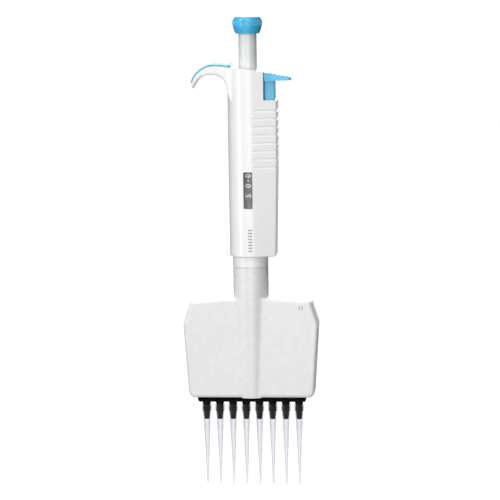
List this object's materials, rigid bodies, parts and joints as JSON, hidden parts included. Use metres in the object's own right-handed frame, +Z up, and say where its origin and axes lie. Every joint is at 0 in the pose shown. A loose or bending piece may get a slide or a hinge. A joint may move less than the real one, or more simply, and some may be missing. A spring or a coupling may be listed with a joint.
{
  "type": "multichannel pipette",
  "caption": "Handheld air-displacement pipette with a finger hook, push button, tip ejector, swivelling wide manifold and a row of clear tips.",
  "frame": {"origin": "middle of the row of tip orifices, at their lower ends, which is the middle of the bounding box's bottom face", "axes": "+Z up along the plunger axis, +X towards the ejector pad and -X towards the finger hook, the volume display faces -Y"},
  "size_m": [0.0912, 0.0278, 0.3181],
  "materials": {
    "handle_white": "satin moulded ABS",
    "manifold_white": "satin moulded ABS",
    "plunger_white": "smooth satin",
    "bearing_white": "natural acetal",
    "pinion_white": "natural acetal",
    "frame_grey": "glass-filled nylon",
    "drum_grey": "dark drum with white digits",
    "accent_blue": "satin light blue",
    "accent_blue_soft": "soft-touch light blue",
    "clear_lens": "clear polycarbonate",
    "comb_black": "matt black",
    "nozzle_black": "matt black PVDF",
    "seal_black": "soft black elastomer",
    "tip_clear": "clear thin polypropylene",
    "steel": "fine turned",
    "brass": "turned",
    "aluminium": "milled"
  },
  "bodies": {
    "handle": {"handle_shell": "handle_white", "hook_pad": "accent_blue_soft", "display_window": "clear_lens", "base_plate": "handle_white", "neck_collar": "handle_white", "top_bush": "bearing_white", "counter_frame": "frame_grey", "pinion_axle": "steel", "nut_guide": "frame_grey", "spring_tube": "bearing_white", "drum_blank": "drum_grey", "main_spring": "steel", "blowout_spring": "steel", "ejector_spring": "steel"},
    "plunger": {"thrust_rod": "steel", "rod_collars": "brass"},
    "dial": {"push_button": "accent_blue", "button_cap": "accent_blue", "plunger_tube": "plunger_white"},
    "volume_drive": {"drive_sleeve": "bearing_white", "drum_tenths": "drum_grey"},
    "units_drum": {"drum_units": "drum_grey"},
    "tens_drum": {"drum_tens": "drum_grey"},
    "units_pinion": {"carry_pinion_units": "pinion_white"},
    "tens_pinion": {"carry_pinion_tens": "pinion_white"},
    "nut": {"volume_nut": "brass"},
    "ejector": {"ejector_pad": "accent_blue", "ejector_rod": "accent_blue", "ejector_arm": "frame_grey", "ejector_sleeve": "bearing_white"},
    "manifold": {"front_cover": "manifold_white", "rear_cover": "manifold_white", "cover_screws": "steel", "nozzle_plate": "frame_grey", "guide_columns": "steel", "piston_seals": "seal_black", "seal_plate": "steel", "seal_rings": "seal_black", "nozzle_1": "nozzle_black", "nozzle_2": "nozzle_black", "nozzle_3": "nozzle_black", "nozzle_4": "nozzle_black", "nozzle_5": "nozzle_black", "nozzle_6": "nozzle_black", "nozzle_7": "nozzle_black", "nozzle_8": "nozzle_black"},
    "yoke": {"yoke_plate": "aluminium", "coupling_cap": "aluminium", "pistons": "steel"},
    "comb": {"comb_bar": "comb_black", "comb_bridge": "frame_grey", "push_rods": "steel"},
    "tips": {"tip_1": "tip_clear", "tip_2": "tip_clear", "tip_3": "tip_clear", "tip_4": "tip_clear", "tip_5": "tip_clear", "tip_6": "tip_clear", "tip_7": "tip_clear", "tip_8": "tip_clear"}
  },
  "joints": [
    {"name": "plunger_press", "type": "slide", "parent": "handle", "child": "plunger", "axis": [0, 0, 1], "range_m": [-0.018, 0], "stiffness_N_per_m": 300, "springref_m": 0.02, "deforming": ["main_spring", "blowout_spring"]},
    {"name": "nut_travel", "type": "slide", "parent": "handle", "child": "nut", "axis": [0, 0, 1], "range_m": [-0.0126, 0]},
    {"name": "volume_dial", "type": "hinge", "parent": "plunger", "child": "dial", "pos_m": [0, 0, 0.31], "axis": [0, 0, 1], "range_deg": [-3240.6, 0]},
    {"name": "volume_drive_turn", "type": "hinge", "parent": "handle", "child": "volume_drive", "pos_m": [0, 0, 0.24], "axis": [0, 0, 1], "range_deg": [-3240.6, 0]},
    {"name": "units_drum_turn", "type": "hinge", "parent": "handle", "child": "units_drum", "pos_m": [0, 0, 0.2058], "axis": [0, 0, 1], "range_deg": [-1620.4, 0]},
    {"name": "tens_drum_turn", "type": "hinge", "parent": "handle", "child": "tens_drum", "pos_m": [0, 0, 0.199], "axis": [0, 0, 1], "range_deg": [-162.1, 0]},
    {"name": "units_pinion_turn", "type": "hinge", "parent": "handle", "child": "units_pinion", "pos_m": [0.0122, 0.0066, 0.2093], "axis": [0, 0, 1], "range_deg": [0, 4050.8]},
    {"name": "tens_pinion_turn", "type": "hinge", "parent": "handle", "child": "tens_pinion", "pos_m": [0.0122, 0.0066, 0.20255], "axis": [0, 0, 1], "range_deg": [0, 405.6]},
    {"name": "ejector_press", "type": "slide", "parent": "handle", "child": "ejector", "axis": [0, 0, 1], "range_m": [-0.01, 0], "stiffness_N_per_m": 250, "springref_m": 0.012, "deforming": ["ejector_spring"]},
    {"name": "manifold_swivel", "type": "hinge", "parent": "handle", "child": "manifold", "pos_m": [0, 0, 0.145], "axis": [0, 0, 1], "continuous": true},
    {"name": "yoke_slide", "type": "slide", "parent": "manifold", "child": "yoke", "axis": [0, 0, 1], "range_m": [-0.018, 0]},
    {"name": "comb_slide", "type": "slide", "parent": "manifold", "child": "comb", "axis": [0, 0, 1], "range_m": [-0.01, 0]},
    {"name": "tip_release", "type": "slide", "parent": "manifold", "child": "tips", "axis": [0, 0, 1], "range_m": [-0.01, 0]}
  ],
  "couplings": [
    {"joint": "volume_dial", "follows": "nut_travel", "rad_per_m": 4488},
    {"joint": "volume_drive_turn", "follows": "nut_travel", "rad_per_m": 4488},
    {"joint": "units_drum_turn", "follows": "nut_travel", "rad_per_m": 2244},
    {"joint": "tens_drum_turn", "follows": "nut_travel", "rad_per_m": 224.4},
    {"joint": "units_pinion_turn", "follows": "nut_travel", "rad_per_m": -5610},
    {"joint": "tens_pinion_turn", "follows": "nut_travel", "rad_per_m": -561},
    {"joint": "yoke_slide", "follows": "plunger_press", "ratio": 1},
    {"joint": "comb_slide", "follows": "ejector_press", "ratio": 1},
    {"joint": "tip_release", "follows": "ejector_press", "ratio": 1}
  ]
}
